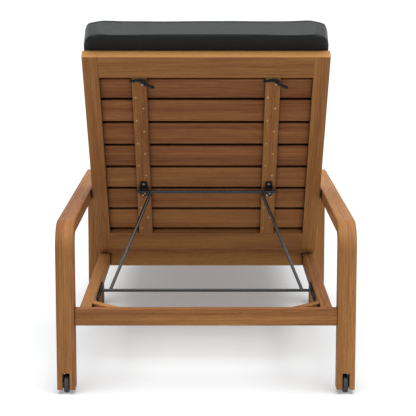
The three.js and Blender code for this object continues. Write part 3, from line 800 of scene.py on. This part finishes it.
def wheel(side):
    """A moulded nylon wheel: hub, thin web with ribs, and a rim with a parting groove round its tread."""
    low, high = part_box(f"wheel_{side}")
    centre = (low + high) / 2
    axes = Matrix.Translation(centre) @ Matrix.Rotation(math.pi / 2, 4, "Y")
    half = [(r * MM, z * MM) for r, z in WHEEL]
    profile = half + [(r, -z) for r, z in reversed(half[:-1])]
    bm = bmesh.new()
    lathe_into(bm, profile, axes, 48)
    bmesh.ops.remove_doubles(bm, verts=bm.verts, dist=1e-6)
    rib = [Vector(corner) * MM for corner in WHEEL_RIB]
    for k in range(WHEEL_RIBS):
        spin = axes @ Matrix.Rotation(2 * math.pi * k / WHEEL_RIBS, 4, "Z")
        one = bmesh.new()
        box_into(one, *rib, spin)
        ease_edges(one, 0.35 * MM, segments=2)
        join_into(bm, one)
    bmesh.ops.recalc_face_normals(bm, faces=bm.faces)
    crease(bm, 50)
    finish_mesh(f"nylon_wheel_{side}", bm, f"wheel_{side}", nylon, [f"wheel_{side}"])


for side, _ in SIDES:
    wheel(side)

# ---------------------------------------------------------------- ties


def tie(side, sign):
    """A cushion tie, knotted round its batten just below the top rail, with its tail twisted to one side."""
    centre, surface, edge = sign * BATTEN_CENTRE, BACK_REAR - 1.3, BATTEN_WIDTH / 2

    def placed(points):
        return [on_back(centre + x, TIE_ALONG + along, surface + out) for x, along, out in points]

    # Each run's points are across, along and out from the knot.
    wrap = [(-edge - 0.9, 2, 3), (-edge - 1.6, 1.8, 0.6), (-edge - 0.4, 2.2, -0.6), (-edge + 5, 3.4, -0.9),
            (-4, 5.6, -1), (6, 4.6, -1.4), (12, 1.4, -2.4)]
    tail = [(5, 4.5, -3.6), (10, 2, -4.8), (16, -2.5, -4.8), (22, -8, -3.8), (28, -13, -3.2),
            (33, -17.4, -2.8), (38.5, -22, -2.2)]
    short_tail = [(9, 0.4, -3), (14, -5.8, -4.6), (20, -10.5, -4.2), (26, -14, -3.2), (31, -16, -2.4)]
    knot = [(11 + 3.9 * math.cos(a), 2.8 * math.sin(a) + 1.4 * math.cos(2 * a), -3.4 + 1.9 * math.sin(2 * a))
            for a in (2 * math.pi * k / 30 for k in range(30))]
    bm = marked_mesh()
    tube_into(bm, placed(smooth_path(wrap)), 5.4 * MM, sides=10, squash=0.34, twist=0.1)
    tube_into(bm, placed(smooth_path(tail)), 5.4 * MM, sides=10, squash=0.5, twist=1.5,
              taper=lambda t: 1.0 + 0.25 * math.sin(9 * t) - 0.35 * t)
    tube_into(bm, placed(smooth_path(short_tail)), 4.6 * MM, sides=10, squash=0.45, twist=0.9,
              taper=lambda t: 1.0 - 0.3 * t)
    tube_into(bm, placed(knot), 3.6 * MM, closed=True, sides=10, squash=0.6, twist=1.0)
    bmesh.ops.recalc_face_normals(bm, faces=bm.faces)
    place = bm.verts.layers.float_vector["board"]
    for v in bm.verts:
        v[place] = TO_BACK @ v.co
    finish_mesh(f"knotted_tie_{side}", bm, "back", tape, [f"cushion_tie_{side}"], weighted=False)


for side, sign in SIDES:
    tie(side, sign)

# ---------------------------------------------------------------- pads


def pad_outline(name):
    """A pad's cut outline in plan, as a closed ring of (x, along) without its hinge end's two corners."""
    half, far, r = PAD_HALF_WIDTH[name] - PAD_INSET, PAD_END[name] - PAD_INSET, PAD_CORNER - PAD_INSET / 2
    ring = []
    for cx, start in ((half - r, 0), (r - half, 90)):
        for k in range(CORNER_STEPS + 1):
            a = math.radians(start + 90 * k / CORNER_STEPS)
            ring.append((cx + r * math.cos(a), far - r + r * math.sin(a)))
        if start == 0:
            for k in range(1, BOW_STEPS):
                t = 1 - 2 * k / BOW_STEPS
                ring.append(((half - r) * t, far + PAD_BOW * (1 - t * t)))
    return half, ring


def pad_ring(name, z):
    """A pad's whole outline at a height, where its mitred hinge end slopes away from the hinge line."""
    half, arc = pad_outline(name)
    near = PAD_HINGE_GAP + PAD_INSET + (z - PAD_LIFT[name]) / math.tan(PAD_MITRE)
    return [(half, near), *arc, (-half, near)]


def pad_shell(name, low, high):
    """A pad's cut shape before it is stuffed: its mitred hinge end, round far corners and square edges."""
    bm = bmesh.new()
    levels = [[bm.verts.new(Vector((x, y, z)) * MM) for x, y in pad_ring(name, z)]
              for z in (low + PAD_INSET, high - PAD_INSET)]
    count = len(levels[0])
    for k in range(count):
        n = (k + 1) % count
        bm.faces.new((levels[0][k], levels[0][n], levels[1][n], levels[1][k]))
    bm.faces.new(list(reversed(levels[0])))
    bm.faces.new(levels[1])
    bmesh.ops.recalc_face_normals(bm, faces=bm.faces)
    return bm


def bake_modifiers(piece):
    graph = bpy.context.evaluated_depsgraph_get()
    mesh = bpy.data.meshes.new_from_object(piece.evaluated_get(graph))
    old = piece.data
    piece.modifiers.clear()
    piece.data = mesh
    bpy.data.meshes.remove(old)


def stuff(piece, voxel, swell):
    """Blows the pad up like its filling does, and holds every point within swell of where it was cut."""
    remesh = piece.modifiers.new("even cloth", "REMESH")
    remesh.mode = "VOXEL"
    remesh.voxel_size = voxel * MM
    bake_modifiers(piece)
    rest = np.array([v.co for v in piece.data.vertices])
    cloth = piece.modifiers.new("stuffing", "CLOTH")
    for setting, value in CLOTH.items():
        setattr(cloth.settings, setting, value)
    cloth.settings.effector_weights.gravity = 0
    cloth.collision_settings.use_collision = False
    cloth.collision_settings.use_self_collision = False
    for number in range(1, STUFFING_FRAMES + 1):
        scene.frame_set(number)
    graph = bpy.context.evaluated_depsgraph_get()
    blown = np.array([v.co for v in piece.evaluated_get(graph).data.vertices])
    piece.modifiers.remove(cloth)
    scene.frame_set(1)
    move = blown - rest
    size = np.linalg.norm(move, axis=1, keepdims=True) + 1e-12
    cap = swell * MM
    rest = rest + move / size * cap * np.tanh(size / cap)
    piece.data.vertices.foreach_set("co", rest.ravel())
    piece.data.update()


def pucker(co, half, end, low):
    """Small puckers that run in from the edge seams, and a slow unevenness, in points in millimetres. The
    waves' lengths don't divide each other, so that they don't repeat."""
    x, y = co[:, 0], co[:, 1]
    edge = np.minimum(half - np.abs(x), end - y)
    near_seam = np.exp(-np.clip(edge, 0, None) / PUCKER_FADE)
    ripple = (np.sin(y / 17 + 1.3 * np.sin(x / 61)) * np.sin(y / 41 + 0.7) * (np.abs(x) > half - PUCKER_BAND)
              + np.sin(x / 19 + 1.1 * np.sin(y / 57)) * np.sin(x / 47 + 2.1) * (y > end - PUCKER_BAND))
    upper = np.clip((co[:, 2] - low - 8) / 30, 0, 1)
    slow = np.sin(x / 83 + 0.9) * np.sin(y / 97 + 0.4)
    co[:, 2] += PUCKER_HEIGHT * ripple * near_seam * upper
    co[:, 2] += SWELL_HEIGHT * slow * upper


def pad_seams(name, mesh, low, high):
    """The corded seams round the pad's upper and lower edges, laid on the stuffed cloth."""
    tree = BVHTree.FromPolygons([v.co for v in mesh.vertices], [tuple(p.vertices) for p in mesh.polygons])
    bm = bmesh.new()
    place = bm.verts.layers.float_vector.new("board")
    for z in (low + PIPING_IN, high - PIPING_IN):
        ring = [Vector(corner) for corner in pad_ring(name, z)]
        path = []
        for k, a in enumerate(ring):
            b = ring[(k + 1) % len(ring)]
            steps = max(1, round((b - a).length / PIPING_STEP))
            for s in range(steps):
                spot, normal, *_ = tree.find_nearest(Vector((*a.lerp(b, s / steps), z)) * MM)
                path.append(spot + normal * -0.5 * MM)
        for _ in range(3):
            path = [(path[k - 1] + 2 * path[k] + path[(k + 1) % len(path)]) / 4 for k in range(len(path))]
        tube_into(bm, path, PIPING_RADIUS * MM, closed=True)
    for v in bm.verts:
        v[place] = v.co
    bmesh.ops.recalc_face_normals(bm, faces=bm.faces)
    return bm


def pad(name, node, body, axes, voxel, swell):
    """A stuffed pad in its own axes: X across, Y away from the hinge, Z up from the boards."""
    low = PAD_LIFT[name]
    high = low + PAD_THICKNESS
    mesh = bpy.data.meshes.new(name)
    bm = pad_shell(name, low, high)
    bm.to_mesh(mesh)
    bm.free()
    piece = bpy.data.objects.new(name, mesh)
    scene.collection.objects.link(piece)
    stuff(piece, voxel, swell)
    mesh = piece.data
    co = np.array([v.co for v in mesh.vertices]) / MM
    pucker(co, PAD_HALF_WIDTH[name], PAD_END[name], low)
    co[:, 2] = np.maximum(co[:, 2], low)        # the cloth lies flat on the boards
    mesh.vertices.foreach_set("co", (co * MM).ravel())
    mesh.update()
    place = mesh.attributes.new("board", "FLOAT_VECTOR", "POINT")
    place.data.foreach_set("vector", (co * MM).ravel())
    seams = pad_seams(name, mesh, low, high)
    mesh.materials.clear()
    mesh.materials.append(canvas)
    mesh.materials.append(shaded_underside_cloth)       # the panel that lies on the boards is cut from a plain, flatter cloth, darker as painted shade
    for polygon in mesh.polygons:
        polygon.use_smooth = True
        # Painted shade: the faces that look down get the darker base cloth.
        polygon.material_index = 1 if polygon.normal.z < -0.62 else 0
    mesh.transform(axes)
    smooth = piece.modifiers.new("rounder", "SUBSURF")
    smooth.levels = smooth.render_levels = 1
    bake_modifiers(piece)
    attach(piece, body)
    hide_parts(node)
    seams.transform(axes)
    finish_mesh(name + "_piping", seams, body, canvas, weighted=False)


pad("pad_back", "back_cushion", "back", BACK, 8, 12)
pad("pad_seat", "seat_cushion", "frame", Matrix.Translation(hinge), 9, 9)


def fold_spot(s):
    """Where the fold strip's underside lies, s along it from its middle: y and z from the hinge line, and how
    far the strip has turned there."""
    arc, lead = STRIP_BEND * RECLINE, STRIP_BEND * math.tan(RECLINE / 2)
    straight = lead + max(abs(s) - arc / 2, 0.0)        # from where the two planes would meet
    angle = min(max(s / arc + 0.5, 0.0), 1.0) * RECLINE
    if s <= -arc / 2:
        return straight, 0.0, angle
    if s >= arc / 2:
        return -straight * math.cos(RECLINE), straight * math.sin(RECLINE), angle
    return lead - STRIP_BEND * math.sin(angle), STRIP_BEND * (1 - math.cos(angle)), angle


def fold_strip():
    """The strip of canvas that joins the two pads over the hinge line, so that the pads fold as one."""
    bm = bmesh.new()
    board = bm.verts.layers.float_vector.new("board")
    width, flat = 2 * STRIP_HALF_WIDTH, 2 * STRIP_REACH
    faces = []
    for lift in (0.0, STRIP_THICKNESS):
        grid = []
        for k in range(STRIP_ROWS + 1):
            s = -STRIP_REACH + flat * k / STRIP_ROWS
            y, z, angle = fold_spot(s)
            up = Vector((0, math.sin(angle), math.cos(angle)))
            spot = Vector((0, y, z + STRIP_LIFT)) + up * lift
            row = []
            for j in range(STRIP_COLUMNS + 1):
                x = -STRIP_HALF_WIDTH + width * j / STRIP_COLUMNS
                v = bm.verts.new(hinge + Vector((x, spot.y, spot.z)) * MM)
                v[board] = Vector((x, s, 0)) * MM
                row.append(v)
            grid.append(row)
        faces.append(grid)
    under, over = faces
    for k in range(STRIP_ROWS):
        for j in range(STRIP_COLUMNS):
            bm.faces.new((under[k][j], under[k][j + 1], under[k + 1][j + 1], under[k + 1][j]))
            bm.faces.new((over[k][j], over[k + 1][j], over[k + 1][j + 1], over[k][j + 1]))
        for j in (0, STRIP_COLUMNS):
            bm.faces.new((under[k][j], under[k + 1][j], over[k + 1][j], over[k][j]))
    for k in (0, STRIP_ROWS):
        for j in range(STRIP_COLUMNS):
            bm.faces.new((under[k][j], over[k][j], over[k][j + 1], under[k][j + 1]))
    bmesh.ops.recalc_face_normals(bm, faces=bm.faces)
    mesh = bpy.data.meshes.new("pad_fold_strip")
    bm.to_mesh(mesh)
    bm.free()
    for polygon in mesh.polygons:
        polygon.use_smooth = True
    mesh.materials.append(canvas)
    strip = bpy.data.objects.new("pad_fold_strip", mesh)
    scene.collection.objects.link(strip)
    ahead = Vector((0, 10 * MM, 0))
    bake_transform(strip, "frame", "back", start=tuple(hinge + ahead), end=tuple(hinge + BACK.to_3x3() @ ahead))


fold_strip()

# ---------------------------------------------------------------- floor, light and camera

FLOOR_PAINT = (1.045, 1.08, 1.1, 1.0)   # a little cool, against the warm light that the teak throws on it
FLOOR_BOUNCE = 0.56                 # how much of the light the floor throws back at the lounger
FLOOR_GLOW = 0.25                   # how far its shadows are lifted
LIGHT_LEVEL = 0.34                  # what the plain surround gives to every surface
SUN_LEVEL = 0.84                    # what the soft overhead light adds on a level surface
SUN_SPREAD = math.radians(60)
SUN_TILT = (math.radians(17), math.radians(3), 0)
CAMERA_PLACE = (0.005, -4.6306, 1.0644)
CAMERA_DROP = math.radians(9.199)   # how far it looks down


def rays_that_show(owner):
    """1 for the rays that show something to the eye: straight, off something glossy, or through glass."""
    rays = add(owner, "LightPath").outputs
    straight = add(owner, "Math", {0: rays["Is Camera Ray"], 1: rays["Is Glossy Ray"]},
                   operation="MAXIMUM")
    shown = add(owner, "Math", {0: straight.outputs[0], 1: rays["Is Transmission Ray"]},
                operation="MAXIMUM")
    return shown.outputs[0]


def pale_floor():
    """A plain floor that looks white and keeps the lounger's shadow, but throws back less light than white
    would. From below it isn't there, so that the underside can be looked at."""
    m = new_material("pale_floor")
    shown = rays_that_show(m)
    paint = add(m, "Mix", {"Factor": shown, 6: grey(FLOOR_BOUNCE), 7: FLOOR_PAINT},
                data_type="RGBA")
    surface = add(m, "BsdfDiffuse", {"Color": paint.outputs[2]})
    glow = add(m, "Emission", {"Color": grey(1.0), "Strength": 1.0})
    share = add(m, "Math", {0: shown, 1: FLOOR_GLOW}, operation="MULTIPLY")
    lit = add(m, "MixShader", {0: share.outputs[0], 1: surface.outputs[0], 2: glow.outputs[0]})
    clear = add(m, "BsdfTransparent")
    back = add(m, "NewGeometry").outputs["Backfacing"]
    mixed = add(m, "MixShader", {0: back, 1: lit.outputs[0], 2: clear.outputs[0]})
    add(m, "OutputMaterial", {"Surface": mixed.outputs[0]})
    return m


bm = bmesh.new()
bmesh.ops.create_grid(bm, x_segments=1, y_segments=1, size=60)
floor_mesh = bpy.data.meshes.new("floor")
bm.to_mesh(floor_mesh)
bm.free()
floor = bpy.data.objects.new("floor", floor_mesh)
floor_mesh.materials.append(pale_floor())
scene.collection.objects.link(floor)

world = bpy.data.worlds.new("plain surround")
scene.world = world
world.use_nodes = True
world.node_tree.nodes.clear()
level = add(world, "MapRange", {"Value": rays_that_show(world), "To Min": LIGHT_LEVEL,
            "To Max": 1.0})
background = add(world, "Background", {"Color": grey(1.0), "Strength": level.outputs[0]})
add(world, "OutputWorld", {"Surface": background.outputs[0]})

sun_data = bpy.data.lights.new("overhead", "SUN")
sun_data.energy = SUN_LEVEL * math.pi
sun_data.angle = SUN_SPREAD
sun = bpy.data.objects.new("overhead", sun_data)
sun.rotation_euler = SUN_TILT
scene.collection.objects.link(sun)

camera_data = bpy.data.cameras.new("camera")
camera_data.lens = 129.0
camera_data.sensor_width = 36.0
camera_data.clip_end = 100
camera = bpy.data.objects.new("camera", camera_data)
camera.location = CAMERA_PLACE
camera.rotation_euler = (math.radians(90) - CAMERA_DROP, 0, 0)
scene.collection.objects.link(camera)
scene.camera = camera
scene.view_settings.view_transform = "Standard"
